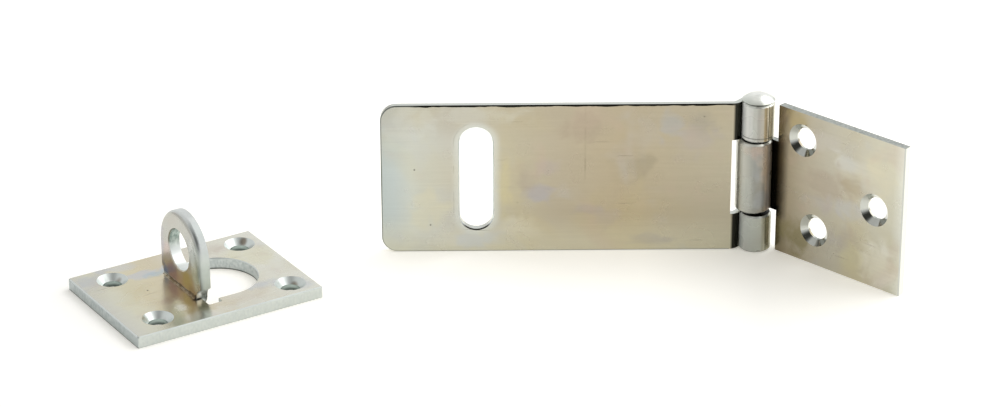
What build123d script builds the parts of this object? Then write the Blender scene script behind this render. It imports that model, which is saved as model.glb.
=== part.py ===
from build123d import *
from math import acos, asin, cos, degrees, radians, sin, tan
import os

# Millimetres. The hinge pin stands along Z, and the strap, the leaf and the staple plate all stand on Z = 0.
# The strap points along -X from the pin, and its front faces -Y.

# Sheet and pin
sheet = 2.5
pin_diameter = 4.8
pin_fit = 0.05            # radial clearance of the pin in the rolled knuckles
roll_gap = 0.3            # gap between the end of a roll and the sheet it curls back to
knuckle_bevel = 0.5       # outer edges at both ends of a knuckle
edge_bevel = 0.35         # stamped edges on the front of the strap and of the leaf

# Strap
strap_reach = 115.0       # pin axis to free end
strap_width = 49.0
strap_corner = 5.0
strap_knuckle = 12.1      # length of each of the two end knuckles
strap_notch = 7.9         # pin axis to the bottom of the notch for the middle knuckle
joggle_start = 7.4        # pin axis to the bend where the flat strap ends
joggle_angle = 50.0
bend_inner = 1.0
slot_to_end = 29.1        # slot centre to free end
slot_side_play = 6.5      # slot width over the thickness of the staple's eye
slot_end_play = 8.3       # slot length over the width of the staple's eye

# Leaf
leaf_reach = 53.8         # pin axis to free edge
leaf_width = 48.6
leaf_edge = 6.2           # pin axis to the edges above and below the middle knuckle
leaf_roll_radius = 5.5    # outside of the middle knuckle, a looser roll than the strap's two
leaf_roll_shift = 0.7     # pin axis to the middle of that roll, away from the leaf
upper_gap = 0.35          # gap between the middle knuckle and the upper one
lower_gap = 1.3           # gap between the middle knuckle and the lower one
leaf_angle = 136.3        # open angle between the strap and the leaf, across the front
leaf_hole = 6.9
leaf_countersink = 10.4
upper_hole_out = 15.6     # pin axis to the hole
upper_hole_down = 8.9     # top edge to the hole
lower_hole_out = 21.0
lower_hole_up = 11.3      # bottom edge to the hole
outer_hole_in = 10.5      # free edge to the hole
outer_hole_rise = 1.0     # hole above the middle of the leaf

# Hinge pin
head_diameter = 10.2
head_seat = 8.6           # diameter of the flat under the head
head_rim = 0.65           # height of the widest ring of the head above its seat
dome_height = 2.0
pin_recess = 0.3          # lower end of the pin inside the bottom knuckle
pin_chamfer = 0.4

# Staple plate
plate_length = 62.0
plate_width = 46.2
plate_thickness = 3.7
plate_corner = 0.5
plate_bevel = 0.35        # top outline of the plate
opening_bevel = 0.25
plate_hole = 5.8
plate_countersink = 9.5
hole_inset_near = 10.75   # end of the plate on the eye's front side to the first pair of holes
hole_inset_far = 7.2      # far end to the second pair
near_holes_apart = 29.8   # centres of the two holes of a pair
far_holes_apart = 32.0
eye_inset = 25.95         # end of the plate to the front of the eye
eye_width = 25.7
eye_height = 27.8
eye_hole = 12.9
eye_hole_height = 15.8
eye_round = 1.7           # rolled edge round the front of the eye
eye_hole_bevel = 0.3
eye_neck = 21.0           # width left at the fold, between the two reliefs
eye_relief = 3.4          # radius of the reliefs at the foot of the eye
fold_inner = 0.5
opening_reach = 25.4      # start of the fold to the far side of the opening
tear_length = 2.05        # cut edge of the plate beside the fold
relief_length = 4.6       # notch in the plate at each end of the fold
relief_depth = 2.65       # how far the notch reaches past the side of the opening
relief_corner = 0.5

# Clearance and layout
strap_lift = 1.0          # strap above the staple plate when it lies shut over it
pin_at = (83.15, 29.8)
plate_at = (-87.6, 0.0)
plate_angle = 31.7

# Sizes that follow
bore_radius = pin_diameter / 2 + pin_fit
barrel_radius = bore_radius + sheet
strap_back = plate_thickness + strap_lift - barrel_radius      # back of the strap, in front of the pin axis
strap_front = strap_back + sheet
slot_width = plate_thickness + slot_side_play
slot_length = eye_width + slot_end_play
leaf_knuckle_top = strap_width - strap_knuckle - upper_gap
leaf_knuckle_bottom = strap_knuckle + lower_gap
leaf_turn = leaf_angle - 180
beyond = 4 * barrel_radius         # long enough to cut past a barrel

# Local planes: X runs out along the sheet from the pin axis (or along the plate), Z is up
leaf_out = (cos(radians(leaf_turn)), sin(radians(leaf_turn)), 0)
plate_along = (cos(radians(plate_angle)), sin(radians(plate_angle)), 0)
strap_plane = Plane(origin=(*pin_at, 0), x_dir=(-1, 0, 0), z_dir=(0, 0, 1))
leaf_plane = Plane(origin=(*pin_at, 0), x_dir=leaf_out, z_dir=(0, 0, 1))
plate_plane = Plane(origin=(*plate_at, 0), x_dir=plate_along, z_dir=(0, 0, 1))

# Upright planes on the front of the strap and of the leaf: X out along the sheet, Y up
strap_face = Plane(
    origin=strap_plane.from_local_coords((0, strap_front, 0)),
    x_dir=strap_plane.x_dir,
    z_dir=-strap_plane.y_dir,
)
leaf_face = Plane(
    origin=leaf_plane.from_local_coords((0, bore_radius, 0)),
    x_dir=leaf_plane.x_dir,
    z_dir=-leaf_plane.y_dir,
)

os.makedirs("parts", exist_ok=True)


def knuckle_rims(piece):
    # the outer edge at each end of every knuckle of a piece
    level_circles = piece.edges().filter_by(GeomType.CIRCLE).filter_by(Plane.XY)
    return level_circles.group_by(SortBy.RADIUS)[-1]


# Strap: the sheet runs flat to the joggle, steps back to the rear of the barrel and rolls round the pin
joggle_turn = radians(joggle_angle)
joggle_end = joggle_start - (strap_back + barrel_radius) / tan(joggle_turn)
mitre = sheet * tan(joggle_turn / 2)
slope_distance = joggle_start * sin(joggle_turn) - strap_back * cos(joggle_turn) - sheet
strap_roll_end = degrees(acos((slope_distance - roll_gap) / barrel_radius)) - (90 - joggle_angle)

with BuildPart() as strap:
    with BuildSketch(strap_plane):
        with BuildLine():
            back_side = FilletPolyline(
                (strap_reach, strap_back),
                (joggle_start, strap_back),
                (joggle_end, -barrel_radius),
                (0, -barrel_radius),
                radius=[bend_inner, bend_inner + sheet],
            )
            front_side = FilletPolyline(
                (strap_reach, strap_front),
                (joggle_start - mitre, strap_front),
                (joggle_end - mitre, -bore_radius),
                (0, -bore_radius),
                radius=[bend_inner + sheet, bend_inner],
            )
            roll_outside = CenterArc((0, 0), barrel_radius, 270, strap_roll_end - 270)
            roll_inside = CenterArc((0, 0), bore_radius, 270, strap_roll_end - 270)
            Line(roll_outside @ 1, roll_inside @ 1)
            Line(back_side @ 0, front_side @ 0)
        make_face()
    extrude(amount=strap_width)

    # Notch for the middle knuckle
    with BuildSketch(strap_face):
        with Locations((strap_notch, strap_width / 2)):
            Rectangle(beyond, strap_width - 2 * strap_knuckle, align=(Align.MAX, Align.CENTER))
    extrude(amount=beyond, both=True, mode=Mode.SUBTRACT)

    # Slot for the eye, and rounded free corners
    with BuildSketch(strap_face):
        with Locations((strap_reach - slot_to_end, strap_width / 2)):
            SlotOverall(slot_length, slot_width, rotation=90)
    extrude(amount=sheet, mode=Mode.SUBTRACT)
    fillet(strap.edges().filter_by(Axis.Y).group_by(Axis.X)[0], radius=strap_corner)

    # Stamped edges on the front: round the slot, round the outline, and round the ends of the knuckles
    front = strap.faces().filter_by(Axis.Y).sort_by(Axis.Y)[0]
    slot_edges = front.inner_wires()[0].edges()
    outline_edges = front.outer_wire().edges().sort_by(Axis.X)[:5]
    chamfer(slot_edges + outline_edges, length=edge_bevel)
    chamfer(knuckle_rims(strap), length=knuckle_bevel)

strap.part.label = "strap"
export_step(strap.part, "parts/strap.step")

# Leaf: its back is tangent to the rear of the barrel, and the middle knuckle rolls forward round the pin
leaf_roll_rise = barrel_radius - leaf_roll_radius
leaf_roll_end = degrees(asin((bore_radius - roll_gap - leaf_roll_rise) / leaf_roll_radius))

with BuildPart() as leaf:
    with BuildSketch(leaf_plane):
        with BuildLine():
            outside = CenterArc((-leaf_roll_shift, leaf_roll_rise), leaf_roll_radius, 90, 270 + leaf_roll_end)
            inside = CenterArc((0, 0), bore_radius, 90, 270 + leaf_roll_end)
            Line(outside @ 1, inside @ 1)
            Polyline(inside @ 0, (leaf_reach, bore_radius), (leaf_reach, barrel_radius), outside @ 0)
        make_face()
    extrude(amount=leaf_width)

    # Room for the strap's knuckles above and below
    with BuildSketch(leaf_face):
        with Locations((leaf_edge, leaf_width)):
            Rectangle(beyond, leaf_width - leaf_knuckle_top, align=(Align.MAX, Align.MAX))
        with Locations((leaf_edge, 0)):
            Rectangle(beyond, leaf_knuckle_bottom, align=(Align.MAX, Align.MIN))
    extrude(amount=beyond, both=True, mode=Mode.SUBTRACT)

    # Countersunk screw holes
    with Locations(leaf_face):
        with Locations(
            (upper_hole_out, leaf_width - upper_hole_down),
            (lower_hole_out, lower_hole_up),
            (leaf_reach - outer_hole_in, leaf_width / 2 + outer_hole_rise),
        ):
            CounterSinkHole(leaf_hole / 2, leaf_countersink / 2, depth=2 * sheet, counter_sink_angle=90)

    # Free edge on the front, and the ends of the knuckle
    free_edges = leaf.edges().filter_by(Axis.Z).group_by(Axis(leaf_plane.origin, leaf_plane.x_dir))[-1]
    chamfer(free_edges.sort_by(Axis(leaf_plane.origin, leaf_plane.y_dir))[0], length=edge_bevel)
    chamfer(knuckle_rims(leaf), length=knuckle_bevel)

leaf.part.label = "leaf"
export_step(leaf.part, "parts/leaf.step")

# Hinge pin: plain shank with a low domed head that rests on the upper knuckle
with BuildPart() as hinge_pin:
    with BuildSketch(Plane(origin=(*pin_at, 0), x_dir=(1, 0, 0), z_dir=(0, -1, 0))):
        with BuildLine():
            shank = Polyline(
                (0, strap_width + head_rim + dome_height),
                (0, pin_recess),
                (pin_diameter / 2 - pin_chamfer, pin_recess),
                (pin_diameter / 2, pin_recess + pin_chamfer),
                (pin_diameter / 2, strap_width),
                (head_seat / 2, strap_width),
            )
            rim = Line(shank @ 1, (head_diameter / 2, strap_width + head_rim))
            dome_radius = (head_diameter**2 / 4 + dome_height**2) / (2 * dome_height)
            RadiusArc(rim @ 1, shank @ 0, -dome_radius)
        make_face()
    revolve(axis=Axis((*pin_at, 0), (0, 0, 1)))

hinge_pin.part.label = "hinge_pin"
export_step(hinge_pin.part, "parts/hinge_pin.step")

# Staple plate
eye_front = eye_inset - plate_length / 2
fold_start = eye_front - fold_inner
fold_height = plate_thickness + fold_inner
opening_radius = eye_width / 2
opening_center = fold_start + opening_reach - opening_radius
cut_start = fold_start + tear_length

eye_plane = Plane(
    origin=plate_plane.from_local_coords((eye_front, 0, 0)),
    x_dir=plate_plane.y_dir,
    z_dir=plate_plane.x_dir,
)
fold_plane = Plane(
    origin=plate_plane.from_local_coords((fold_start, 0, fold_height)),
    x_dir=plate_plane.x_dir,
    z_dir=-plate_plane.y_dir,
)

with BuildPart() as staple_plate:
    with BuildSketch(plate_plane):
        RectangleRounded(plate_length, plate_width, plate_corner)

        # The opening keeps the outline of the eye that was punched out of it
        with BuildLine():
            CenterArc((opening_center, 0), opening_radius, -90, 180)
            Polyline(
                (opening_center, opening_radius),
                (cut_start, opening_radius),
                (cut_start, -opening_radius),
                (opening_center, -opening_radius),
            )
        make_face(mode=Mode.SUBTRACT)
        with Locations((cut_start + relief_length / 2, 0)):
            RectangleRounded(relief_length, eye_width + 2 * relief_depth, relief_corner, mode=Mode.SUBTRACT)
        with Locations((fold_start, 0)):
            Rectangle(tear_length, eye_neck, align=(Align.MIN, Align.CENTER), mode=Mode.SUBTRACT)
    extrude(amount=plate_thickness)

    # Fold at the foot of the eye
    with BuildSketch(fold_plane):
        with BuildLine():
            CenterArc((0, 0), fold_height, 270, 90)
            CenterArc((0, 0), fold_inner, 270, 90)
            Line((0, -fold_height), (0, -fold_inner))
            Line((fold_height, 0), (fold_inner, 0))
        make_face()
    extrude(amount=eye_neck / 2, both=True)

    # Eye
    with BuildSketch(eye_plane):
        with Locations((0, fold_height)):
            Rectangle(eye_width, eye_height - eye_width / 2 - fold_height, align=(Align.CENTER, Align.MIN))
        with Locations((0, eye_height - eye_width / 2)):
            Circle(eye_width / 2)
        with Locations((eye_neck / 2 + eye_relief, fold_height), (-eye_neck / 2 - eye_relief, fold_height)):
            Circle(eye_relief, mode=Mode.SUBTRACT)
        with Locations((0, eye_hole_height)):
            Circle(eye_hole / 2, mode=Mode.SUBTRACT)
    extrude(amount=plate_thickness)

    # Countersunk screw holes, one pair near each end
    near_pair = hole_inset_near - plate_length / 2
    far_pair = plate_length / 2 - hole_inset_far
    for pair_at, apart in ((near_pair, near_holes_apart), (far_pair, far_holes_apart)):
        pair_plane = Plane(
            origin=plate_plane.from_local_coords((pair_at, 0, plate_thickness)),
            x_dir=plate_plane.x_dir,
            z_dir=plate_plane.z_dir,
        )
        with Locations(pair_plane):
            with Locations((0, apart / 2), (0, -apart / 2)):
                CounterSinkHole(
                    plate_hole / 2, plate_countersink / 2, depth=2 * plate_thickness, counter_sink_angle=90
                )

    # Punched edges: round the top of the plate, the front of the eye, its hole and the opening
    along = Axis(plate_plane.origin, plate_plane.x_dir)
    top_face = staple_plate.faces().filter_by(Axis.Z).sort_by(Axis.Z)[-1]
    chamfer(top_face.outer_wire().edges(), length=plate_bevel)
    top_face = staple_plate.faces().filter_by(Axis.Z).sort_by(Axis.Z)[-1]
    opening_edges = top_face.inner_wires().sort_by(SortBy.LENGTH)[-1].edges()
    chamfer(opening_edges.filter_by(GeomType.CIRCLE).group_by(SortBy.RADIUS)[-1], length=opening_bevel)
    eye_face = staple_plate.faces().filter_by(along).group_by(Axis.Z)[-1].sort_by(along)[0]
    chamfer(eye_face.inner_wires()[0].edges(), length=eye_hole_bevel)
    eye_face = staple_plate.faces().filter_by(along).group_by(Axis.Z)[-1].sort_by(along)[0]
    fillet(eye_face.outer_wire().edges().sort_by(Axis.Z)[-3:], radius=eye_round)

staple_plate.part.label = "staple_plate"
export_step(staple_plate.part, "parts/staple_plate.step")
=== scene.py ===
import math
import bpy
from mathutils import Euler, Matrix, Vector

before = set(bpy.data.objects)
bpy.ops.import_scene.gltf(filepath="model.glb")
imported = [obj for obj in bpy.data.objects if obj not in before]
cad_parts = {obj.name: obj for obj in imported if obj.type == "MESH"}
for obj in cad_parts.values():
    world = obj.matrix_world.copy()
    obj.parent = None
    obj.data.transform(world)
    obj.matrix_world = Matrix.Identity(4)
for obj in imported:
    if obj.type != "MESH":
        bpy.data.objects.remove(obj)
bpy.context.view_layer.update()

scene = bpy.context.scene
scene.view_settings.view_transform = "Standard"


# Node helpers

def srgb(red, green, blue):
    # 0 to 255 as seen on screen, to the linear colour that nodes use
    def linear(v):
        v = v / 255
        return v / 12.92 if v <= 0.04045 else ((v + 0.055) / 1.055) ** 2.4
    return (linear(red), linear(green), linear(blue), 1.0)


def tints(stops):
    return [(at, srgb(*tint)) for at, tint in stops]


def put(tree, kind, values=None, **settings):
    # a new node; a value that is a socket is linked, any other is set
    node = tree.nodes.new(kind)
    for name, value in settings.items():
        setattr(node, name, value)
    for name, value in (values or {}).items():
        if isinstance(value, bpy.types.NodeSocket):
            tree.links.new(value, node.inputs[name])
        else:
            node.inputs[name].default_value = value
    return node


def mathOf(tree, operation, a, b=0.0):
    return put(tree, "ShaderNodeMath", {0: a, 1: b}, operation=operation).outputs[0]


def plus(tree, a, b):
    return mathOf(tree, "ADD", a, b)


def minus(tree, a, b):
    return mathOf(tree, "SUBTRACT", a, b)


def above(tree, value, edge):
    return mathOf(tree, "GREATER_THAN", value, edge)


def below(tree, value, edge):
    return mathOf(tree, "LESS_THAN", value, edge)


def sizeOf(tree, value):
    return mathOf(tree, "ABSOLUTE", value)


def both(tree, *masks):
    result = masks[0]
    for mask in masks[1:]:
        result = mathOf(tree, "MULTIPLY", result, mask)
    return result


def inverse(tree, mask):
    return minus(tree, 1.0, mask)


def reachOf(tree, a, b):
    # length of the two sides' diagonal
    return mathOf(tree, "SQRT", plus(tree, both(tree, a, a), both(tree, b, b)))


def spread(tree, value, low, high, outLow=0.0, outHigh=1.0, smooth=True):
    node = put(tree, "ShaderNodeMapRange", {
        "Value": value, "From Min": low, "From Max": high, "To Min": outLow, "To Max": outHigh,
    })
    if smooth:
        node.interpolation_type = "SMOOTHSTEP"
    return node.outputs["Result"]


def fade(tree, value, low, high):
    return spread(tree, value, low, high, 1.0, 0.0)


def band(tree, value, low, lowInside, highInside, high):
    # 1 between the two slopes, 0 outside them
    return both(tree, spread(tree, value, low, lowInside), fade(tree, value, highInside, high))


def vectorMath(tree, operation, a, b):
    return put(tree, "ShaderNodeVectorMath", {0: a, 1: b}, operation=operation).outputs[0]


def mixColor(tree, factor, a, b, blend="MIX"):
    node = put(tree, "ShaderNodeMix", {0: factor, 6: a, 7: b}, data_type="RGBA", blend_type=blend)
    return node.outputs[2]


def paint(tree, color, mask, tint, amount=None):
    # lay a tint of 0 to 255, or another node's colour, over the colour where the mask is 1
    if amount is not None:
        mask = both(tree, mask, amount)
    if not isinstance(tint, bpy.types.NodeSocket):
        tint = srgb(*tint)
    return mixColor(tree, mask, color, tint)


def ramp(tree, value, stops):
    node = put(tree, "ShaderNodeValToRGB", {0: value})
    marks = node.color_ramp.elements
    while len(marks) < len(stops):
        marks.new(0.5)
    for mark, (at, color) in zip(marks, stops):
        mark.position = at
        mark.color = color
    return node.outputs["Color"]


def split(tree, vector):
    node = put(tree, "ShaderNodeSeparateXYZ", {0: vector})
    return node.outputs["X"], node.outputs["Y"], node.outputs["Z"]


def newGroup(name, inputs, outputs):
    group = bpy.data.node_groups.new(name, "ShaderNodeTree")
    for label, kind, value in inputs:
        socket = group.interface.new_socket(label, in_out="INPUT", socket_type=kind)
        if value is not None:
            socket.default_value = value
    for label, kind in outputs:
        group.interface.new_socket(label, in_out="OUTPUT", socket_type=kind)
    return group, group.nodes.new("NodeGroupInput"), group.nodes.new("NodeGroupOutput")


def place(tree, group, values):
    # one copy of a shared effect, with the piece's own values
    return put(tree, "ShaderNodeGroup", values, node_tree=group)


# Camera

camera = {
    "at": (-0.0056, -0.9390, 0.4721),
    "lookAt": (0.00488, 0.06186, 0.0),
    "lens": 125.4,
    "sensor": 36,
    "roll": -0.149,     # degrees
    "seesTo": 20,
}


def makeCamera():
    data = bpy.data.cameras.new("camera")
    data.lens = camera["lens"]
    data.sensor_width = camera["sensor"]
    data.clip_end = camera["seesTo"]
    view = bpy.data.objects.new("camera", data)
    scene.collection.objects.link(view)
    at = Vector(camera["at"])
    view.location = at
    turn = (Vector(camera["lookAt"]) - at).to_track_quat("-Z", "Y")
    roll = Euler((0, 0, math.radians(camera["roll"]))).to_quaternion()
    view.rotation_euler = (turn @ roll).to_euler()
    scene.camera = view
    print("camera", camera["lens"])


makeCamera()


# Studio: a white floor, a pale surround that is dim above the camera and has one small bright window,
# and a broad soft lamp behind on the right

studio = {
    "floorSize": 6.0,
    "floorColor": (0.96, 0.96, 0.96, 1),
    "floorLift": (0.41, 0.39, 0.33, 1),
    "liftSpan": 0.15,     # metres to either side that liftAlong runs over
    "liftAlong": (
        (0.10, 0.56), (0.26, 0.82), (0.36, 0.97), (0.43, 1.0), (0.66, 1.0), (0.775, 0.70), (0.88, 0.94),
    ),
    "surround": (0.92, 0.92, 0.92, 1),
    "overhead": (0.74, 0.74, 0.73, 1),
    "overheadFrom": (0.50, 0.92),
    "leftSide": (0.45, 0.46, 0.46, 1),
    "leftSideFrom": (-0.9, -0.2),
    "leftSideAmount": 0.35,
    "dim": (0.05, 0.05, 0.045, 1),
    "dimToward": (-0.05, -0.77, 0.63),
    "dimEdge": (0.80, 0.98),     # cosines, the glint's too
    "glint": (1.7, 1.7, 1.7, 1),
    "glintToward": (0.42, 0.40, 0.82),
    "glintEdge": (0.974, 0.992),
    "keyAt": (1.04, 0.32, 0.98),
    "keySize": 1.8,
    "keyWatts": 9.0,
}


def makeFloor():
    half = studio["floorSize"] / 2
    corners = [(-half, -half, 0), (half, -half, 0), (half, half, 0), (-half, half, 0)]
    mesh = bpy.data.meshes.new("floor")
    mesh.from_pydata(corners, [], [(0, 1, 2, 3)])
    floor = bpy.data.objects.new("floor", mesh)
    scene.collection.objects.link(floor)
    material = bpy.data.materials.new("paperFloor")
    material.use_nodes = True
    tree = material.node_tree
    tree.nodes.clear()
    path = put(tree, "ShaderNodeLightPath")
    seen = mathOf(tree, "MAXIMUM", path.outputs["Is Camera Ray"], path.outputs["Is Glossy Ray"])
    seen = mathOf(tree, "MAXIMUM", seen, path.outputs["Is Transmission Ray"])
    # shadows are a little deeper beside the staple and under the hinge
    side = split(tree, put(tree, "ShaderNodeTexCoord").outputs["Object"])[0]
    side = spread(tree, side, -studio["liftSpan"], studio["liftSpan"], smooth=False)
    lift = ramp(tree, side, [(at, (value, value, value, 1)) for at, value in studio["liftAlong"]])
    seen = both(tree, seen, lift)
    paper = put(tree, "ShaderNodeBsdfDiffuse", {"Color": studio["floorColor"]})
    glow = put(tree, "ShaderNodeEmission", {"Color": studio["floorLift"], "Strength": seen})
    surface = put(tree, "ShaderNodeAddShader", {0: paper.outputs[0], 1: glow.outputs[0]})
    put(tree, "ShaderNodeOutputMaterial", {"Surface": surface.outputs[0]})
    mesh.materials.append(material)


def nearTo(tree, toward, direction, edge):
    # 1 close to the direction, 0 beyond the edge
    axis = Vector(direction).normalized()
    cosine = put(tree, "ShaderNodeVectorMath", {0: toward, 1: axis}, operation="DOT_PRODUCT")
    return spread(tree, cosine.outputs["Value"], *edge)


def makeWorld():
    world = bpy.data.worlds.new("studio")
    scene.world = world
    world.use_nodes = True
    tree = world.node_tree
    tree.nodes.clear()
    toward = put(tree, "ShaderNodeTexCoord").outputs["Generated"]
    right, _, up = split(tree, toward)
    color = mixColor(tree, spread(tree, up, *studio["overheadFrom"]), studio["surround"], studio["overhead"])
    left = spread(tree, right, *studio["leftSideFrom"], studio["leftSideAmount"], 0.0)
    color = mixColor(tree, left, color, studio["leftSide"])
    dim = nearTo(tree, toward, studio["dimToward"], studio["dimEdge"])
    color = mixColor(tree, dim, color, studio["dim"])
    glint = nearTo(tree, toward, studio["glintToward"], studio["glintEdge"])
    color = mixColor(tree, glint, color, studio["glint"])
    background = put(tree, "ShaderNodeBackground", {"Color": color, "Strength": 1.0})
    put(tree, "ShaderNodeOutputWorld", {"Surface": background.outputs[0]})


def makeKey():
    data = bpy.data.lights.new("key", "AREA")
    data.energy = studio["keyWatts"]
    data.shape = "DISK"
    data.size = studio["keySize"]
    lamp = bpy.data.objects.new("key", data)
    scene.collection.objects.link(lamp)
    lamp.location = studio["keyAt"]
    lamp.rotation_euler = (-Vector(studio["keyAt"])).to_track_quat("-Z", "Y").to_euler()


makeFloor()
makeWorld()
makeKey()
print("studio")


# Shared effects. Their vectors are millimetres in the piece's own frame: X runs along it from the pin,
# or from the plate's middle, and Z is up

milli = 0.001
noiseSpan = (0.3, 0.7)      # where most of a noise lies
nearlyFlat = (0.85, 0.95)   # how far a face has turned, as the size of a normal's part
justTurned = (0.3, 0.5)
rollSpan = 1.6              # radians to either side of a knuckle's front that its ramp covers


def makeFrameOf(tree, origin, turn):
    # object coordinates and normal, as millimetres and directions along, across and up the piece
    coords = put(tree, "ShaderNodeTexCoord")
    turned = (0.0, 0.0, math.radians(turn))
    mapping = put(tree, "ShaderNodeMapping", {
        "Vector": coords.outputs["Object"], "Location": (*origin, 0.0), "Rotation": turned,
        "Scale": (milli, milli, milli),
    }, vector_type="TEXTURE")
    facing = put(tree, "ShaderNodeMapping", {
        "Vector": coords.outputs["Normal"], "Rotation": turned,
    }, vector_type="TEXTURE")
    return mapping.outputs["Vector"], facing.outputs["Vector"]


def noise(tree, vector, scale, detail=2.0, distortion=0.0):
    return put(tree, "ShaderNodeTexNoise", {
        "Vector": vector, "Scale": scale, "Detail": detail, "Distortion": distortion,
    }).outputs["Fac"]


def stretched(tree, vector, scale):
    return vectorMath(tree, "MULTIPLY", vector, scale)


def makeZincPatches():
    # passivated zinc: broad soft clouds of straw, blue-grey and rose
    group, entry, leave = newGroup("zincPatches", [
        ("Vector", "NodeSocketVector", None), ("Color", "NodeSocketColor", (0.5, 0.5, 0.5, 1)),
        ("Straw", "NodeSocketColor", srgb(190, 176, 126)), ("Blue", "NodeSocketColor", srgb(178, 184, 196)),
        ("Rose", "NodeSocketColor", srgb(186, 160, 150)), ("Amount", "NodeSocketFloat", 0.5),
    ], [("Color", "NodeSocketColor")])
    vector, amount, color = (entry.outputs[name] for name in ("Vector", "Amount", "Color"))
    clouds = (      # tint, scale, shift, and where the cloud begins and is full
        ("Straw", 0.045, (0, 0, 0), 0.48, 0.72),
        ("Blue", 0.06, (70, 20, 0), 0.54, 0.74),
        ("Rose", 0.07, (0, 90, 40), 0.56, 0.76),
    )
    for tint, scale, shift, low, high in clouds:
        moved = vectorMath(group, "ADD", vector, shift)
        cloud = spread(group, noise(group, moved, scale, 3.0, 0.6), low, high)
        color = mixColor(group, both(group, cloud, amount), color, entry.outputs[tint])
    group.links.new(color, leave.inputs["Color"])
    return group


def makeSoftSpot():
    # one soft cloud with a ragged outline
    group, entry, leave = newGroup("softSpot", [
        ("Vector", "NodeSocketVector", None), ("Center", "NodeSocketVector", None),
        ("Reach", "NodeSocketVector", (5, 1000, 5)), ("Ragged", "NodeSocketFloat", 2.2),
    ], [("Mask", "NodeSocketFloat")])
    vector = entry.outputs["Vector"]
    away = vectorMath(group, "SUBTRACT", vector, entry.outputs["Center"])
    away = vectorMath(group, "DIVIDE", away, entry.outputs["Reach"])
    far = put(group, "ShaderNodeVectorMath", {0: away}, operation="LENGTH").outputs["Value"]
    wobble = minus(group, noise(group, vector, 0.16, 4.0, 0.8), 0.5)
    far = plus(group, far, both(group, wobble, entry.outputs["Ragged"]))
    group.links.new(fade(group, far, 0.25, 1.1), leave.inputs["Mask"])
    return group


def makeBrushedGrain():
    # fine rolling lines of the sheet, and a slow unevenness across them
    group, entry, leave = newGroup("brushedGrain", [
        ("Vector", "NodeSocketVector", None), ("Stretch", "NodeSocketVector", (0.05, 1, 3)),
    ], [("Lines", "NodeSocketFloat"), ("Waves", "NodeSocketFloat")])
    vector = entry.outputs["Vector"]
    along = stretched(group, vector, entry.outputs["Stretch"])
    group.links.new(noise(group, along, 1.0, 4.0), leave.inputs["Lines"])
    group.links.new(noise(group, vector, 0.12, 2.0), leave.inputs["Waves"])
    return group


def makeHandling():
    # small dark pits, and thin scratches that run three ways
    group, entry, leave = newGroup("handling", [
        ("Vector", "NodeSocketVector", None), ("Specks", "NodeSocketFloat", 0.5),
        ("Scratches", "NodeSocketFloat", 0.5),
    ], [("Pits", "NodeSocketFloat"), ("Scratches", "NodeSocketFloat")])
    vector = entry.outputs["Vector"]

    def scattered(where, scale, rim, rarity):
        # the middles of a few cells
        cell = put(group, "ShaderNodeTexVoronoi", {"Vector": where, "Scale": scale, "Randomness": 1.0})
        near = fade(group, cell.outputs["Distance"], *rim)
        return both(group, near, above(group, split(group, cell.outputs["Color"])[0], rarity))

    pits = both(group, scattered(vector, 0.16, (0.028, 0.06), 0.55), entry.outputs["Specks"])
    group.links.new(pits, leave.inputs["Pits"])
    lines = None
    for turn, shift in ((0.35, 0.0), (-0.75, 31.0), (1.2, 67.0)):
        turned = put(group, "ShaderNodeMapping", {
            "Vector": vector, "Location": (shift, shift, shift), "Rotation": (turn, turn, turn),
            "Scale": (0.035, 0.9, 0.9),
        })
        line = scattered(turned.outputs[0], 1.0, (0.05, 0.13), 0.86)
        lines = line if lines is None else mathOf(group, "MAXIMUM", lines, line)
    group.links.new(both(group, lines, entry.outputs["Scratches"]), leave.inputs["Scratches"])
    return group


def makeSeamShade():
    # painted shade in the tight corner beside the knuckles, where bare metal only mirrors itself
    group, entry, leave = newGroup("seamShade", [
        ("Vector", "NodeSocketVector", None), ("Barrel", "NodeSocketFloat", 5.0),
        ("Dark To", "NodeSocketFloat", 7.5), ("Fade To", "NodeSocketFloat", 8.2),
    ], [("Mask", "NodeSocketFloat")])
    x, y = split(group, entry.outputs["Vector"])[:2]
    outside = above(group, reachOf(group, x, y), entry.outputs["Barrel"])
    darkness = spread(group, x, entry.outputs["Dark To"], entry.outputs["Fade To"], 1.0, 0.0, smooth=False)
    group.links.new(both(group, outside, darkness), leave.inputs["Mask"])
    return group


zincPatches = makeZincPatches()
softSpot = makeSoftSpot()
brushedGrain = makeBrushedGrain()
handling = makeHandling()
seamShade = makeSeamShade()


def spotMask(tree, vector, center, reach, **settings):
    values = {"Vector": vector, "Center": center, "Reach": reach, **settings}
    return place(tree, softSpot, values).outputs["Mask"]


def addSpots(tree, vector, color, spots):
    # each spot is its middle, its reach, a tint and an amount
    for center, reach, tint, amount in spots:
        color = paint(tree, color, spotMask(tree, vector, center, reach), tint, amount)
    return color


def mottled(tree, value, dark, pale):
    # two tints mixed by a noise
    return mixColor(tree, spread(tree, value, *noiseSpan), srgb(*dark), srgb(*pale))


def streaked(tree, vector, turnTo, stretch, shift):
    # an angle round a knuckle, made uneven so that the painted reflection streaks run up the knuckle and
    # waver
    streak = noise(tree, stretched(tree, vector, stretch), 1.0, 3.0)
    return plus(tree, turnTo, spread(tree, streak, 0.35, 0.65, -shift, shift, smooth=False))


def paintedRollReflection(tree, turnTo, stops):
    # painted reflections: a colour for each angle round a knuckle
    return ramp(tree, spread(tree, turnTo, -rollSpan, rollSpan, smooth=False), tints(stops))


metalGrain = {
    "depth": 0.00002,     # metres that the grain stands up
    "pit": (70, 66, 58),
    "scratch": (120, 112, 98),
    "waves": 0.04,
    "scratchRoughness": 0.15,
}


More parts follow.
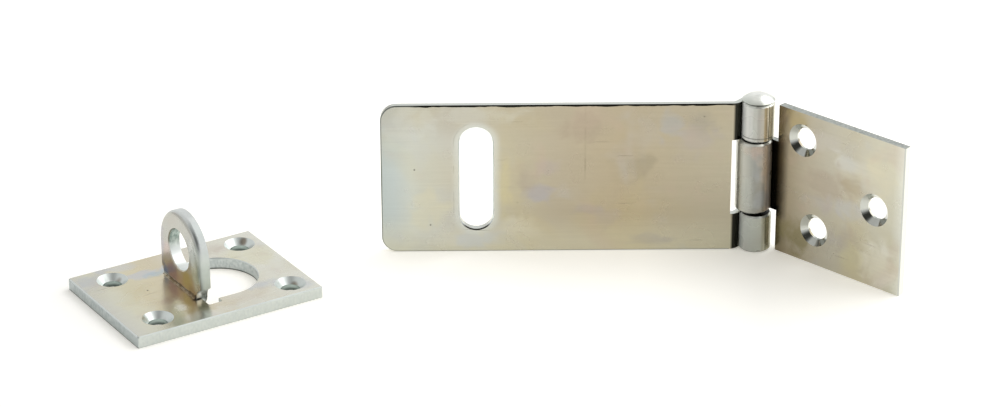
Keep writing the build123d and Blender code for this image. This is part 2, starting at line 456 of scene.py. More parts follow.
def surfaceOf(tree, vector, color, look):
    # tint clouds, rolling lines, specks and scratches that every piece has
    color = place(tree, zincPatches, {
        "Vector": vector, "Color": color, "Amount": look["patches"],
    }).outputs["Color"]
    grain = place(tree, brushedGrain, {"Vector": vector, "Stretch": look["grainStretch"]})
    lines, waves = grain.outputs["Lines"], grain.outputs["Waves"]
    shade = spread(tree, lines, *noiseSpan, 1 - look["grain"], 1 + look["grain"], smooth=False)
    shade = put(tree, "ShaderNodeCombineColor", {0: shade, 1: shade, 2: shade}).outputs[0]
    color = mixColor(tree, 1.0, color, shade, "MULTIPLY")
    marks = place(tree, handling, {
        "Vector": vector, "Specks": look["specks"], "Scratches": look["scratches"],
    })
    pits, scratches = marks.outputs["Pits"], marks.outputs["Scratches"]
    color = paint(tree, color, pits, metalGrain["pit"])
    color = paint(tree, color, scratches, metalGrain["scratch"])
    uneven = spread(tree, waves, *noiseSpan, -metalGrain["waves"], metalGrain["waves"])
    roughness = plus(tree, look["roughness"], uneven)
    roughness = plus(tree, roughness, both(tree, scratches, metalGrain["scratchRoughness"]))
    height = minus(tree, both(tree, lines, look["grainRise"]), pits)
    return color, roughness, height


def finishMetal(tree, color, roughness, height, metallic=1.0):
    bump = put(tree, "ShaderNodeBump", {"Height": height, "Strength": 1.0, "Distance": metalGrain["depth"]})
    shader = put(tree, "ShaderNodeBsdfPrincipled", {
        "Base Color": color, "Metallic": metallic, "Roughness": roughness, "Normal": bump.outputs[0],
    })
    put(tree, "ShaderNodeOutputMaterial", {"Surface": shader.outputs[0]})


def newMaterial(name):
    material = bpy.data.materials.new(name)
    material.use_nodes = True
    material.node_tree.nodes.clear()
    return material, material.node_tree


def wear(name, material):
    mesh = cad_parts[name].data
    mesh.materials.clear()
    mesh.materials.append(material)


# Strap. Lengths in these dictionaries are millimetres, apart from the origins, which are metres

strapLook = {
    "origin": (0.08315, 0.0298), "turn": 180.0, "length": 115.0, "height": 49.0,
    "slotAt": (85.9, 24.5), "slotSize": (10.2, 34.0), "pressLineAt": 52.6,
    "barrel": (2.6, 5.02),     # inside and outside radius of the knuckles
    "lipAt": 38.3,
    "along": (
        (0.06, (176, 169, 149)), (0.20, (172, 163, 142)), (0.36, (170, 158, 134)), (0.54, (171, 162, 143)),
        (0.67, (178, 172, 152)), (0.73, (184, 182, 171)), (0.82, (184, 183, 174)), (0.92, (189, 193, 186)),
        (0.965, (179, 187, 186)), (1.0, (175, 184, 183)),
    ),
    # painted light: the bottom is lightened against the shadowed floor that it mirrors; the top is darker
    "low": (210, 207, 186), "lowFrom": (14.0, 1.0), "lowAmount": 0.60,
    "high": (168, 159, 140), "highFrom": (34.0, 46.0), "highAmount": 0.45,
    "spots": (
        ((26.0, 0, 42.0), (4.2, 90, 6.0), (163, 163, 160), 0.65),
        ((17.5, 0, 42.5), (5.0, 90, 5.5), (158, 152, 138), 0.65),
        ((54.0, 0, 41.0), (7.0, 90, 6.0), (162, 150, 132), 0.65),
        ((72.0, 0, 8.0), (7.0, 90, 5.0), (200, 196, 178), 0.55),
        ((20.0, 0, 36.5), (9.0, 90, 7.0), (170, 162, 154), 0.55),
        ((35.2, 0, 29.8), (4.6, 90, 5.4), (150, 142, 122), 0.55),
        ((41.0, 0, 28.5), (5.0, 90, 8.0), (164, 154, 132), 0.50),
        ((38.5, 0, 36.0), (4.5, 90, 4.0), (166, 154, 130), 0.45),
        ((63.6, 0, 28.5), (4.4, 90, 4.0), (170, 160, 154), 0.50),
        ((66.5, 0, 19.2), (5.2, 90, 3.4), (160, 157, 164), 0.60),
        ((71.5, 0, 25.0), (4.2, 90, 5.0), (164, 154, 140), 0.70),
        ((52.0, 0, 14.4), (4.6, 90, 2.6), (160, 152, 150), 0.50),
        ((46.0, 0, 11.0), (5.4, 90, 4.0), (168, 158, 150), 0.50),
        ((32.0, 0, 3.8), (7.0, 90, 2.4), (166, 162, 158), 0.45),
        ((77.4, 0, 21.0), (2.8, 90, 11.0), (192, 184, 146), 0.45),
        ((84.0, 0, 3.6), (9.0, 90, 3.4), (188, 193, 196), 0.60),
        ((84.0, 0, 46.0), (16.0, 90, 4.0), (192, 193, 184), 0.35),
        ((100.0, 0, 14.0), (7.0, 90, 8.0), (200, 196, 172), 0.50),
        ((106.0, 0, 42.0), (8.0, 90, 9.0), (194, 197, 192), 0.40),
    ),
    "halo": (202, 206, 202), "haloReach": (0.4, 3.0), "haloAmount": 0.60,
    "ring": (150, 148, 134), "ringAt": (1.8, 0.3), "ringAmount": 0.40,
    "pressLine": (132, 124, 104), "pressLineAmount": 0.35,
    # painted reflections round the knuckles, by angle, with brown and straw streaks and cream highlights
    "roll": (
        (0.0, (252, 253, 248)), (0.25, (248, 249, 243)), (0.40, (197, 199, 191)), (0.5, (168, 166, 158)),
        (0.59, (178, 173, 160)), (0.61, (164, 150, 120)), (0.64, (158, 140, 106)), (0.66, (238, 230, 210)),
        (0.685, (230, 222, 196)), (0.695, (84, 76, 54)), (0.712, (84, 76, 54)), (0.722, (238, 232, 208)),
        (0.775, (234, 228, 200)), (0.80, (156, 148, 116)), (0.83, (108, 102, 76)), (0.86, (180, 176, 150)),
        (0.92, (216, 212, 190)), (1.0, (208, 206, 192)),
    ),
    "streak": (1.1, 1.1, 0.05), "streakShift": 0.05, "rollRoughness": 0.05,
    "dullTurn": (-0.7, 0.1), "dullness": (0.90, 0.35),     # how little of a mirror the knuckles are
    "lowRoll": ((187, 192, 182), (148, 146, 116)),     # in front, and on the side of the leaf
    "lipLine": (92, 92, 84), "rollBehind": (192, 189, 174),
    # painted highlight on the knuckles' rims, painted shade in their gaps and at the foot
    "rollRims": (232, 234, 227), "rollEnds": (30, 30, 27), "rollFoot": (70, 72, 66), "rollFootAmount": 0.6,
    "outline": (128, 132, 126), "slotWall": (232, 238, 238), "slotFloor": (52, 52, 46),
    "topLine": (40, 39, 33), "topLineDrop": 0.52, "topLineWave": (-0.20, 0.22),
    "edges": (206, 210, 204),
    "seam": (42, 42, 37), "seamRange": (5.03, 7.0, 7.7),     # barrel's radius, dark up to, faded at
    "patches": 0.16, "grain": 0.025, "grainStretch": (0.05, 1.0, 2.6), "grainRise": 0.12,
    "specks": 0.7, "scratches": 0.45, "roughness": 0.24,
}


def strapFinish():
    look = strapLook
    material, tree = newMaterial("strapZinc")
    vector, facing = makeFrameOf(tree, look["origin"], look["turn"])
    x, y, z = split(tree, vector)
    nx, ny, nz = split(tree, facing)
    # colour along the strap: its tint, and partly a painted reflection that changes along it
    color = ramp(tree, mathOf(tree, "DIVIDE", x, look["length"]), tints(look["along"]))
    # painted light lightens the bottom, against the shadowed floor that it mirrors; the top is darker
    color = paint(tree, color, spread(tree, z, *look["lowFrom"], 0.0, look["lowAmount"]), look["low"])
    color = paint(tree, color, spread(tree, z, *look["highFrom"], 0.0, look["highAmount"]), look["high"])
    color = addSpots(tree, vector, color, look["spots"])
    # pale halo pressed round the slot, with a faint line outside it on the free end's side
    slotX, slotZ = look["slotAt"]
    slotWide, slotLong = look["slotSize"]
    down = minus(tree, sizeOf(tree, minus(tree, z, slotZ)), (slotLong - slotWide) / 2)
    down = mathOf(tree, "MAXIMUM", down, 0.0)
    side = minus(tree, x, slotX)
    away = minus(tree, reachOf(tree, down, side), slotWide / 2)
    color = paint(tree, color, fade(tree, away, *look["haloReach"]), look["halo"], look["haloAmount"])
    ringAt, ringHalf = look["ringAt"]
    faint = spread(tree, noise(tree, vector, 0.14, 3.0), 0.42, 0.60)
    ring = band(tree, away, ringAt - ringHalf, ringAt, ringAt, ringAt + ringHalf)
    ring = both(tree, ring, spread(tree, side, 1.0, 4.0), faint)
    color = paint(tree, color, ring, look["ring"], look["ringAmount"])
    # a faint broken line rolled across the strap
    near = sizeOf(tree, minus(tree, x, look["pressLineAt"]))
    broken = spread(tree, noise(tree, stretched(tree, vector, (0.0, 0.0, 0.12)), 1.0, 3.0), 0.42, 0.62)
    rolled = both(tree, fade(tree, near, 0.10, 0.40), spread(tree, z, 18.0, 26.0), broken)
    color = paint(tree, color, rolled, look["pressLine"], look["pressLineAmount"])
    # knuckles: painted reflections, greyer, the lower one darker, with brown and straw streaks and cream
    # highlights on the side of the leaf
    innerRadius, outerRadius = look["barrel"]
    distance = reachOf(tree, x, y)
    barrel = both(tree, below(tree, distance, outerRadius), above(tree, distance, innerRadius))
    # 0 in front, rising towards the leaf
    turnTo = mathOf(tree, "ARCTAN2", both(tree, x, -1.0), y)
    turnTo = streaked(tree, vector, turnTo, look["streak"], look["streakShift"])
    roll = paintedRollReflection(tree, turnTo, look["roll"])
    front, leafSide = look["lowRoll"]
    lowRoll = mixColor(tree, spread(tree, turnTo, 0.2, 0.9), srgb(*front), srgb(*leafSide))
    roll = paint(tree, roll, spread(tree, z, 20.0, 28.0, 0.75, 0.0), lowRoll)
    # a thin dark line over the rolled lip of the upper knuckle
    fromLip = sizeOf(tree, minus(tree, z, look["lipAt"]))
    roll = paint(tree, roll, spread(tree, fromLip, 0.08, 0.30, 0.65, 0.0), look["lipLine"])
    roll = paint(tree, roll, spread(tree, y, 0.0, -2.0), look["rollBehind"])
    color = mixColor(tree, barrel, color, roll)
    color, roughness, height = surfaceOf(tree, vector, color, look)
    # ends of the knuckles: painted highlights on the rims, painted shade, black, in the gaps and under the
    # head
    upturned = sizeOf(tree, nz)
    ragged = spread(tree, noise(tree, vector, 0.9, 3.0), 0.38, 0.56)
    rims = both(tree, barrel, band(tree, upturned, *justTurned, 0.80, 0.95))
    rims = both(tree, rims, spread(tree, ragged, 0.0, 1.0, 0.35, 1.0))
    color = paint(tree, color, rims, look["rollRims"])
    color = paint(tree, color, both(tree, barrel, spread(tree, upturned, *nearlyFlat)), look["rollEnds"])
    # painted contact shade at the foot of the lower knuckle
    foot = both(tree, barrel, fade(tree, z, 0.2, 0.7))
    color = paint(tree, color, foot, look["rollFoot"], look["rollFootAmount"])
    # stamped edges: painted shade as a grey outline on the chamfers, and inside the slot painted light on the
    # walls over a painted dark floor
    slant = both(tree, band(tree, ny, 0.45, 0.6, 0.8, 0.95), above(tree, x, 8.0))
    slotEnd = slotZ - slotLong / 2
    inSlot = (0.9, 1.3)
    color = paint(tree, color, both(tree, slant, spread(tree, away, *inSlot)), look["outline"])
    slotFloor = spread(tree, z, slotEnd + 2.6, slotEnd + 0.8)
    slotColor = mixColor(tree, slotFloor, srgb(*look["slotWall"]), srgb(*look["slotFloor"]))
    color = paint(tree, color, both(tree, slant, fade(tree, away, *inSlot)), slotColor)
    # painted shade: a wavy dark line where the top turns to the front
    wavy = noise(tree, stretched(tree, vector, (0.14, 0.0, 0.0)), 1.0, 3.0)
    wavy = spread(tree, wavy, *noiseSpan, *look["topLineWave"])
    ledge = plus(tree, look["height"] - look["topLineDrop"], wavy)
    turning = both(tree, above(tree, z, ledge), fade(tree, nz, *nearlyFlat), spread(tree, ny, *justTurned))
    color = paint(tree, color, both(tree, turning, band(tree, x, 5.0, 9.0, 102.0, 107.0)), look["topLine"])
    flat = mathOf(tree, "MAXIMUM", spread(tree, nz, 0.90, 0.99), spread(tree, nx, 0.90, 0.99))
    color = paint(tree, color, both(tree, flat, above(tree, x, 4.0)), look["edges"])
    # painted shade: the joggle mirrors only the dark side of the barrel
    barrelRadius, darkTo, fadeTo = look["seamRange"]
    seam = place(tree, seamShade, {
        "Vector": vector, "Barrel": barrelRadius, "Dark To": darkTo, "Fade To": fadeTo,
    }).outputs["Mask"]
    joggle = both(tree, seam, spread(tree, ny, 0.15, 0.4), spread(tree, x, 4.4, 5.3))
    color = paint(tree, color, joggle, look["seam"])
    roughness = plus(tree, roughness, both(tree, barrel, look["rollRoughness"]))
    dull = both(tree, barrel, spread(tree, turnTo, *look["dullTurn"], *look["dullness"]))
    finishMetal(tree, color, roughness, height, inverse(tree, dull))
    wear("strap", material)


# Leaf

leafLook = {
    "origin": (0.08315, 0.0298), "turn": -43.7, "length": 53.8,
    "knuckle": (13.4, 36.55),     # from and up to this height
    "rollAt": (-0.7, -0.55), "rollRadius": 5.58,
    "along": (
        (0.11, (112, 101, 81)), (0.145, (132, 121, 100)), (0.20, (160, 150, 130)), (0.34, (180, 173, 156)),
        (0.50, (186, 182, 168)), (0.66, (192, 187, 169)), (0.80, (196, 193, 177)), (0.93, (200, 198, 182)),
        (1.0, (216, 217, 208)),
    ),
    "spots": (
        ((8.0, 0, 45.0), (3.6, 90, 8.0), (98, 88, 70), 0.80),
        ((13.5, 0, 44.5), (5.0, 90, 5.0), (174, 158, 116), 0.55),
        ((23.0, 0, 42.0), (8.5, 90, 4.0), (192, 188, 180), 0.55),
        ((33.0, 0, 37.0), (7.0, 90, 4.0), (200, 200, 194), 0.65),
        ((25.0, 0, 28.0), (11.0, 90, 8.0), (172, 161, 146), 0.65),
        ((24.0, 0, 20.5), (9.0, 90, 3.4), (178, 174, 170), 0.60),
        ((34.0, 0, 22.0), (9.0, 90, 3.6), (188, 188, 186), 0.65),
        ((42.5, 0, 36.0), (9.0, 90, 9.0), (205, 200, 178), 0.60),
        ((35.5, 0, 31.0), (5.0, 90, 4.5), (172, 161, 139), 0.70),
        ((32.0, 0, 11.0), (7.0, 90, 7.0), (176, 170, 163), 0.60),
        ((46.0, 0, 8.0), (8.0, 90, 10.0), (220, 219, 210), 0.75),
        ((34.5, 0, 7.0), (5.0, 90, 6.0), (204, 200, 168), 0.55),
        ((14.0, 0, 6.0), (8.0, 90, 7.0), (138, 130, 96), 0.75),
    ),
    # painted reflections round the knuckle, by angle
    "roll": (
        (0.0, (150, 150, 142)), (0.08, (214, 215, 206)), (0.25, (188, 188, 179)), (0.42, (151, 152, 145)),
        (0.52, (146, 145, 138)), (0.62, (154, 150, 142)), (0.655, (186, 178, 164)), (0.685, (212, 199, 182)),
        (0.702, (186, 173, 156)), (0.72, (220, 207, 190)), (0.78, (214, 201, 182)), (0.83, (176, 162, 140)),
        (0.88, (138, 125, 104)), (1.0, (92, 82, 66)),
    ),
    "streak": (0.9, 0.9, 0.05), "streakShift": 0.07, "rollRoughness": 0.05,
    "dullTurn": (0.1, 0.8), "dullness": (0.25, 0.45),
    # painted reflection tints on the knuckle
    "rollReflectionSpots": (
        ((-1.5, -5.6, 34.5), (5.0, 4.0, 3.0), (184, 160, 142), 0.50),
        ((2.6, -4.6, 30.0), (2.6, 4.0, 7.0), (212, 190, 170), 0.50),
        ((2.0, -5.0, 18.0), (3.4, 4.0, 5.0), (158, 162, 166), 0.65),
        ((-3.5, -4.0, 20.0), (3.0, 4.0, 8.0), (178, 182, 176), 0.50),
    ),
    # painted highlight on the knuckle's rims, painted shade in its gaps
    "rollBehind": (172, 168, 156), "rollRims": (222, 222, 212), "rollEnds": (26, 26, 23),
    "sink": (188, 190, 184), "sinkPolish": 0.12, "freeEdge": (232, 234, 228), "shearedRoughness": 0.22,
    "sheared": ((154, 159, 155), (190, 194, 189)),     # mottled between two tints
    "seam": (15, 14, 10), "seamRange": (4.6, 6.0, 10.6),
    "patches": 0.22, "grain": 0.022, "grainStretch": (0.06, 1.0, 2.4), "grainRise": 0.10,
    "specks": 0.8, "scratches": 0.4, "roughness": 0.24,
}


def leafFinish():
    look = leafLook
    material, tree = newMaterial("leafZinc")
    vector, facing = makeFrameOf(tree, look["origin"], look["turn"])
    x, y, z = split(tree, vector)
    nx, ny, nz = split(tree, facing)
    # colour along the leaf: painted shade, darker and browner towards the knuckle, lightening towards the
    # free edge
    color = ramp(tree, mathOf(tree, "DIVIDE", x, look["length"]), tints(look["along"]))
    # tinted spots; the dark ones near the knuckle are painted shade
    color = addSpots(tree, vector, color, look["spots"])
    # the knuckle: painted reflections, silver grey, rose and brown on the side of the leaf
    rollX, rollY = look["rollAt"]
    distance = reachOf(tree, minus(tree, x, rollX), minus(tree, y, rollY))
    barrel = below(tree, distance, look["rollRadius"])
    sheet = inverse(tree, barrel)
    level = makeFrameOf(tree, look["origin"], 0.0)[0]     # the pin's frame, which isn't turned
    levelX, levelY = split(tree, level)[:2]
    # 0 in front, rising towards the leaf
    turnTo = mathOf(tree, "ARCTAN2", levelX, both(tree, levelY, -1.0))
    turnTo = streaked(tree, vector, turnTo, look["streak"], look["streakShift"])
    roll = addSpots(tree, level, paintedRollReflection(tree, turnTo, look["roll"]), look["rollReflectionSpots"])
    roll = paint(tree, roll, spread(tree, levelY, 0.0, 2.0), look["rollBehind"])
    color = mixColor(tree, barrel, color, roll)
    color, roughness, height = surfaceOf(tree, vector, color, look)
    # countersinks are turned bright, and the sheared edges are matt
    cone = both(tree, band(tree, ny, -0.95, -0.80, -0.60, -0.45), above(tree, x, 7.0))
    color = paint(tree, color, cone, look["sink"])
    upturned = sizeOf(tree, nz)
    sheared = spread(tree, upturned, 0.8, 0.97)
    tooth = noise(tree, stretched(tree, vector, (2.0, 1.6, 1.0)), 1.0, 5.0)
    color = paint(tree, color, both(tree, sheared, sheet), mottled(tree, tooth, *look["sheared"]))
    color = paint(tree, color, both(tree, spread(tree, nx, 0.90, 0.99), sheet), look["freeEdge"])
    roughness = plus(tree, roughness, both(tree, sheared, look["shearedRoughness"]))
    roughness = minus(tree, roughness, both(tree, cone, look["sinkPolish"]))
    roughness = plus(tree, roughness, both(tree, barrel, look["rollRoughness"]))
    # ends of the knuckle: painted highlights on the rims, painted shade, black, in the gaps
    color = paint(tree, color, both(tree, barrel, spread(tree, upturned, *justTurned)), look["rollRims"])
    gap = both(tree, barrel, spread(tree, upturned, *nearlyFlat), fade(tree, reachOf(tree, x, y), 4.5, 5.1))
    color = paint(tree, color, gap, look["rollEnds"])
    # painted shade: the corner beside the knuckle mirrors nothing but the knuckle
    barrelRadius, darkTo, fadeTo = look["seamRange"]
    seam = place(tree, seamShade, {
        "Vector": vector, "Barrel": barrelRadius, "Dark To": darkTo, "Fade To": fadeTo,
    }).outputs["Mask"]
    low, high = look["knuckle"]
    beside = band(tree, z, low - 3.5, low, high - 1.0, high + 2.5)
    color = paint(tree, color, both(tree, seam, fade(tree, ny, -0.4, -0.15), beside, sheet), look["seam"])
    dull = both(tree, barrel, spread(tree, turnTo, *look["dullTurn"], *look["dullness"]))
    finishMetal(tree, color, roughness, height, inverse(tree, dull))
    wear("leaf", material)


# Hinge pin

pinLook = {
    "origin": (0.08315, 0.0298), "turn": 0.0,
    "head": (48.9, 51.6),     # heights that the ramp runs between
    "headRamp": (
        (0.0, (48, 47, 43)), (0.07, (76, 75, 70)), (0.13, (150, 150, 142)), (0.3, (206, 209, 202)),
        (0.7, (244, 246, 240)), (1.0, (246, 248, 243)),
    ),
    "left": (212, 217, 210), "leftFrom": (-1.2, -3.6), "leftAmount": 0.6,
    "patches": 0.12, "grain": 0.02, "grainStretch": (0.6, 0.6, 0.6), "grainRise": 0.1,
    "specks": 0.4, "scratches": 0.2, "roughness": 0.24,
}


def pinFinish():
    look = pinLook
    material, tree = newMaterial("pinZinc")
    vector = makeFrameOf(tree, look["origin"], look["turn"])[0]
    x, _, z = split(tree, vector)
    # the head: painted shade under its rim, rising to a pale dome
    color = ramp(tree, spread(tree, z, *look["head"], smooth=False), tints(look["headRamp"]))
    # painted shade on the head's left side
    color = paint(tree, color, spread(tree, x, *look["leftFrom"], 0.0, look["leftAmount"]), look["left"])
    color, roughness, height = surfaceOf(tree, vector, color, look)
    finishMetal(tree, color, roughness, height)
    wear("hinge_pin", material)


# Staple plate. Its spots lie on the top, and the eye's on the eye's front

stapleLook = {
    "origin": (-0.0876, 0.0), "turn": 31.7, "length": 62.0, "width": 46.2, "thickness": 3.7,
    "foldAt": -5.05, "neck": 21.0, "openingSide": 16.5,
    "holesAt": (1.775, 22.025, 15.45), "holeWithin": 3.7,     # middle along, half the spacing each way
    "eyeHole": (15.8, 6.8), "eyeRound": (14.95, 12.85),     # height of the middle, and radius
    "along": (
        (0.0, (206, 206, 197)), (0.10, (213, 212, 194)), (0.20, (216, 211, 186)), (0.32, (215, 206, 178)),
        (0.42, (212, 203, 178)), (0.60, (219, 216, 204)), (0.80, (222, 221, 208)), (1.0, (225, 225, 214)),
    ),
    "spots": (
        ((-11.5, 13.5, 3.7), (12.0, 3.0, 9.0), (196, 200, 208), 0.65),
        ((-7.0, 11.5, 3.7), (4.5, 2.6, 9.0), (176, 194, 204), 0.65),
        ((-26.0, 16.5, 3.7), (6.5, 8.0, 9.0), (192, 197, 202), 0.75),
        ((-20.6, 22.6, 3.7), (4.5, 3.6, 9.0), (196, 199, 200), 0.80),
        ((-22.0, -4.0, 3.7), (5.0, 10.0, 9.0), (216, 212, 186), 0.50),
        ((-15.0, 21.0, 3.7), (7.0, 4.0, 9.0), (206, 208, 208), 0.60),
        ((-16.0, -2.0, 3.7), (6.0, 9.0, 9.0), (212, 200, 166), 0.50),
        ((-12.0, -6.5, 3.7), (2.8, 3.4, 9.0), (190, 172, 152), 0.55),
        ((-11.0, -12.2, 3.7), (2.6, 3.2, 9.0), (240, 238, 230), 0.60),
        ((-9.0, -20.5, 3.7), (6.0, 4.5, 9.0), (238, 240, 238), 0.60),
        ((16.0, -12.0, 3.7), (7.0, 3.4, 9.0), (196, 202, 210), 0.65),
        ((22.0, 6.0, 3.7), (8.0, 9.0, 9.0), (220, 217, 188), 0.55),
        ((27.0, -18.0, 3.7), (4.0, 4.0, 9.0), (204, 208, 210), 0.70),
        ((4.0, -21.0, 3.7), (12.0, 4.0, 9.0), (224, 226, 218), 0.60),
        ((14.0, 18.0, 3.7), (8.0, 4.0, 9.0), (206, 198, 188), 0.55),
    ),
    "eyeLow": (190, 180, 162), "eyeHigh": (190, 190, 182),
    "eyeTints": (
        ((-5.0, 0.0, 5.6), (4.0, 14.0, 5.5), (184, 156, 124), 0.85),
        ((-5.0, -5.0, 8.0), (4.0, 5.0, 4.5), (186, 168, 102), 0.80),
        ((-5.0, -8.5, 5.0), (4.0, 3.0, 2.6), (160, 138, 104), 0.70),
        ((-5.0, 5.0, 6.5), (4.0, 4.6, 4.2), (150, 118, 122), 0.75),
        ((-5.0, -10.5, 12.0), (4.0, 2.8, 6.0), (206, 216, 206), 0.75),
        ((-5.0, -9.0, 17.0), (4.0, 4.8, 5.6), (238, 241, 238), 0.85),
        ((-5.0, 8.0, 12.5), (4.0, 3.6, 3.6), (204, 186, 182), 0.60),
        ((-5.0, 9.8, 5.2), (4.0, 3.2, 3.4), (112, 124, 150), 0.85),
        ((-5.0, 11.5, 15.0), (4.0, 2.8, 9.0), (182, 180, 186), 0.75),
    ),
    "besideRim": (138, 146, 136), "besideRimAmount": 0.75,
    "sink": (222, 228, 225), "sinkRoughness": 0.10, "cutRoughness": 0.15,
    # painted brown reflections in the countersinks
    "sinkReflection": (128, 112, 92), "sinkReflectionReach": (1.5, 1.3, 3.0), "sinkReflectionAmount": 0.8,
    "sinkReflections": ((-18.4, -14.0), (26.6, 18.6), (25.8, -14.4), (-17.9, 16.2)),
    "brow": (172, 177, 173), "browAmount": 0.8,
    "edgeBright": ((196, 202, 198), (206, 211, 206)),     # each wall is mottled between two tints
    "edgeShaded": ((165, 175, 175), (191, 197, 197)), "edgeFoot": (90, 92, 88),
    "opening": ((176, 185, 185), (202, 208, 208)), "openingFoot": (66, 70, 68),
    "rimLow": (183, 191, 185), "rimHigh": (219, 222, 221), "rimDull": (196, 204, 198),
    "rimShoulder": (168, 174, 172), "rimShoulderAmount": 0.7,
    "eyeHoleWall": ((140, 158, 152), (196, 208, 203)), "eyeHoleFloor": (236, 240, 238),
    "boreLow": (104, 114, 110), "boreHigh": (186, 200, 196),
    "crease": (96, 74, 40), "creaseAmount": 0.9, "lip": (250, 226, 214), "lipAmount": 0.8,
    "torn": (34, 30, 26), "tornReach": (1.6, 1.0, 1.5), "tornAmount": 0.9,
    "tatter": (
        (0.36, (128, 130, 124)), (0.46, (184, 187, 182)), (0.56, (206, 209, 205)), (0.66, (158, 160, 154)),
    ),
    # painted highlights and shade on the torn end
    "endHighlightsAndShade": (
        ((-4.2, -10.5, 5.0), (1.0, 3.0, 1.5), (252, 252, 250)),
        ((-2.4, -10.5, 5.8), (1.5, 3.0, 1.2), (136, 138, 132)),
        ((-3.0, -10.5, 7.0), (3.5, 3.0, 0.6), (84, 84, 78)),
        ((-4.2, -10.5, 3.4), (1.2, 3.0, 0.8), (28, 26, 22)),
        ((-2.8, -10.5, 3.0), (0.9, 3.0, 0.6), (250, 250, 248)),
    ),
    "glowAt": (-11.0, -12.0, 3.7), "glowReach": (2.8, 3.8, 3.0), "glowAmount": 0.55,
    "patches": 0.18, "grain": 0.018, "grainStretch": (0.08, 1.6, 1.6), "grainRise": 0.10,
    "specks": 0.9, "scratches": 0.5, "roughness": 0.25,
}


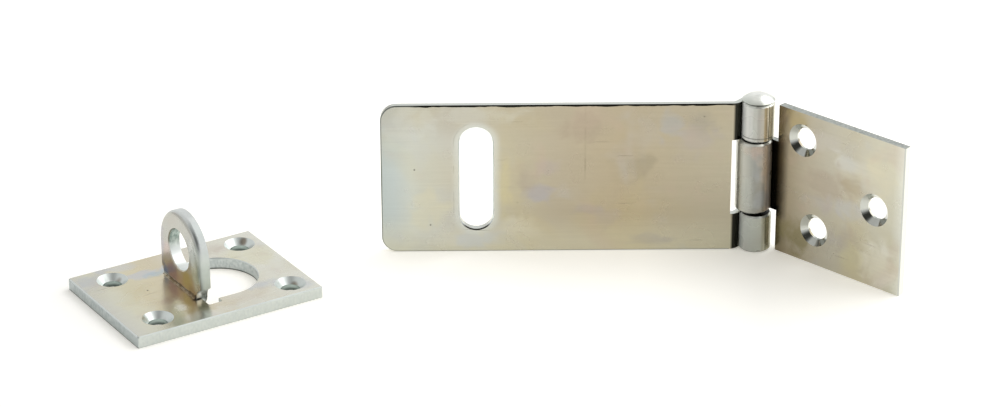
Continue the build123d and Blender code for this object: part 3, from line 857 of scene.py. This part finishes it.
def stapleFinish():
    look = stapleLook
    material, tree = newMaterial("stapleZinc")
    vector, facing = makeFrameOf(tree, look["origin"], look["turn"])
    x, y, z = split(tree, vector)
    nx, ny, nz = split(tree, facing)
    halfLength, plateTop, sideways = look["length"] / 2, look["thickness"], sizeOf(tree, y)
    color = ramp(tree, spread(tree, x, -halfLength, halfLength, smooth=False), tints(look["along"]))
    # tinted spots on the top; the brown and bright ones just in front of the eye are painted reflections of
    # the eye and its hole
    color = addSpots(tree, vector, color, look["spots"])
    # the eye is silvery on top and olive near the fold, with painted shade beside its rim
    upright = spread(tree, z, plateTop + 0.2, plateTop + 1.2)
    eye = mixColor(tree, spread(tree, z, 8.0, 18.0), srgb(*look["eyeLow"]), srgb(*look["eyeHigh"]))
    eye = addSpots(tree, vector, eye, look["eyeTints"])
    roundHigh, roundReach = look["eyeRound"]
    outward = reachOf(tree, y, minus(tree, z, roundHigh))
    shade = both(
        tree, spread(tree, outward, roundReach - 2.8, roundReach - 0.4), spread(tree, y, -4.0, -8.0),
        spread(tree, z, 9.0, 13.0), spread(tree, z, 24.0, 20.0),
    )
    eye = paint(tree, eye, shade, look["besideRim"], look["besideRimAmount"])
    color = mixColor(tree, upright, color, eye)
    color, roughness, height = surfaceOf(tree, vector, color, look)
    # bright countersinks, each with one brown mark, a painted reflection of what the real one mirrors
    cone = both(tree, band(tree, nz, 0.45, 0.60, 0.80, 0.95), below(tree, z, plateTop + 0.01))
    color = paint(tree, color, cone, look["sink"])
    for sinkX, sinkY in look["sinkReflections"]:
        mark = spotMask(tree, vector, (sinkX, sinkY, 3.0), look["sinkReflectionReach"], Ragged=1.2)
        color = paint(tree, color, both(tree, mark, cone), look["sinkReflection"], look["sinkReflectionAmount"])
    roughness = plus(tree, roughness, both(tree, cone, look["sinkRoughness"]))
    # darker grey on the bevels along both sides of the top
    brow = both(tree, band(tree, nz, 0.30, 0.45, *nearlyFlat), above(tree, sideways, look["width"] / 2 - 0.9))
    color = paint(tree, color, brow, look["brow"], look["browAmount"])
    # cut edges: the outline of the plate, the rim of the eye and its hole, with painted light and shade on
    # them
    level = fade(tree, sizeOf(tree, nz), 0.2, 0.5)
    cutPlate = both(tree, level, inverse(tree, upright))
    cutEye = both(tree, fade(tree, sizeOf(tree, nx), 0.5, 0.8), upright)
    tooth = noise(tree, stretched(tree, vector, (1.5, 1.5, 0.9)), 1.0, 5.0)
    bright = mottled(tree, tooth, *look["edgeBright"])
    shaded = mottled(tree, tooth, *look["edgeShaded"])
    # painted contact shade at the foot of the shaded walls
    shaded = paint(tree, shaded, spread(tree, z, 0.45, 0.20, 0.0, 0.7), look["edgeFoot"])
    # painted shade: the walls inside the opening are darker, with a dark line at their foot
    opening = mottled(tree, tooth, *look["opening"])
    opening = paint(tree, opening, spread(tree, z, 0.55, 0.30, 0.0, 0.8), look["openingFoot"])
    within = below(tree, sizeOf(tree, x), halfLength - 0.5)
    within = both(tree, below(tree, sideways, look["openingSide"]), within)
    # painted light and shade: walls that face left take the shaded tints, the others the bright ones
    edge = mixColor(tree, fade(tree, nx, -0.9, -0.5), bright, shaded)
    edge = mixColor(tree, within, edge, opening)
    color = mixColor(tree, cutPlate, color, edge)
    # the eye's rim: darker low down and lighter high up, with painted shade on its shoulder
    rim = mixColor(tree, spread(tree, z, 12.0, 24.0), srgb(*look["rimLow"]), srgb(*look["rimHigh"]))
    rim = paint(tree, rim, spread(tree, tooth, *noiseSpan, 0.35, 0.0), look["rimDull"])
    shoulder = band(tree, ny, -0.92, -0.75, -0.5, -0.3)
    rim = paint(tree, rim, shoulder, look["rimShoulder"], look["rimShoulderAmount"])
    # the eye's hole: a mottled wall, with painted light on its lower part, which faces up
    holeHigh, holeReach = look["eyeHole"]
    overHole = minus(tree, z, holeHigh)
    holeWall = mottled(tree, tooth, *look["eyeHoleWall"])
    holeWall = mixColor(tree, spread(tree, overHole, -3.5, 1.5), srgb(*look["eyeHoleFloor"]), holeWall)
    rim = mixColor(tree, below(tree, reachOf(tree, y, overHole), holeReach), rim, holeWall)
    color = mixColor(tree, cutEye, color, rim)
    cut = mathOf(tree, "MAXIMUM", cutPlate, cutEye)
    roughness = plus(tree, roughness, both(tree, cut, look["cutRoughness"]))
    # the straight walls of the screw holes are dull grey, with painted shade darker towards the bottom
    middle, apartX, apartY = look["holesAt"]
    holeX = minus(tree, sizeOf(tree, minus(tree, x, middle)), apartX)
    holeY = minus(tree, sideways, apartY)
    bore = both(tree, below(tree, reachOf(tree, holeX, holeY), look["holeWithin"]), level)
    boreColor = mixColor(tree, spread(tree, z, 0.3, 1.4), srgb(*look["boreLow"]), srgb(*look["boreHigh"]))
    color = paint(tree, color, bore, boreColor)
    # the crease of the fold: painted shade as a ragged dark line, with a painted highlight on the lip in
    # front of it
    fold, neck = look["foldAt"], look["neck"] / 2
    ragged = spread(tree, noise(tree, vector, 0.6, 4.0), 0.3, 0.6, 0.6, 1.0)
    acrossFold = fade(tree, sideways, neck, neck + 0.1)
    swell = plus(
        tree, spread(tree, y, 11.0, 1.0, plateTop + 0.5, plateTop + 1.15),
        spread(tree, noise(tree, vector, 0.5, 2.0), *noiseSpan, -0.35, 0.35),
    )
    crease = both(
        tree, band(tree, x, fold - 0.42, fold - 0.30, fold + 0.02, fold + 0.1),
        fade(tree, minus(tree, z, swell), -0.25, 0.1), spread(tree, z, plateTop - 0.1, plateTop),
        acrossFold, ragged,
    )
    color = paint(tree, color, crease, look["crease"], look["creaseAmount"])
    thin = spread(tree, noise(tree, vector, 0.35, 3.0), 0.38, 0.58)
    lip = both(
        tree, band(tree, x, fold - 0.66, fold - 0.56, fold - 0.48, fold - 0.40),
        below(tree, z, plateTop + 0.05), acrossFold, thin,
    )
    color = paint(tree, color, lip, look["lip"], look["lipAmount"])
    # painted shade in the torn corner at the end of the crease
    tornAt = (fold + 0.3, -neck, plateTop + 0.2)
    torn = spotMask(tree, vector, tornAt, look["tornReach"], Ragged=1.6)
    color = paint(tree, color, torn, look["torn"], look["tornAmount"])
    # the end of the bend is torn metal: pale, with painted highlights as a bright lip and flecks, and painted
    # shade as a black foot
    bendEnd = both(
        tree, below(tree, y, 0.05 - neck), above(tree, y, -0.6 - neck), fade(tree, ny, -0.7, -0.4),
        band(tree, z, 0.6, 1.4, 6.5, 7.4), below(tree, x, fold + 3.8), above(tree, x, fold - 0.1),
    )
    end = ramp(tree, noise(tree, stretched(tree, vector, (0.9, 0.9, 0.6)), 1.0, 4.0), tints(look["tatter"]))
    for center, reach, tint in look["endHighlightsAndShade"]:
        end = paint(tree, end, spotMask(tree, vector, center, reach, Ragged=0.5), tint)
    color = paint(tree, color, bendEnd, end, look["tornAmount"])
    # less of a mirror where the photographed plate shows a soft light in front of the eye
    glow = spotMask(tree, vector, look["glowAt"], look["glowReach"], Ragged=1.0)
    finishMetal(tree, color, roughness, height, inverse(tree, both(tree, glow, look["glowAmount"])))
    wear("staple_plate", material)


for finish in (strapFinish, leafFinish, pinFinish, stapleFinish):
    finish()
    print(finish.__name__)
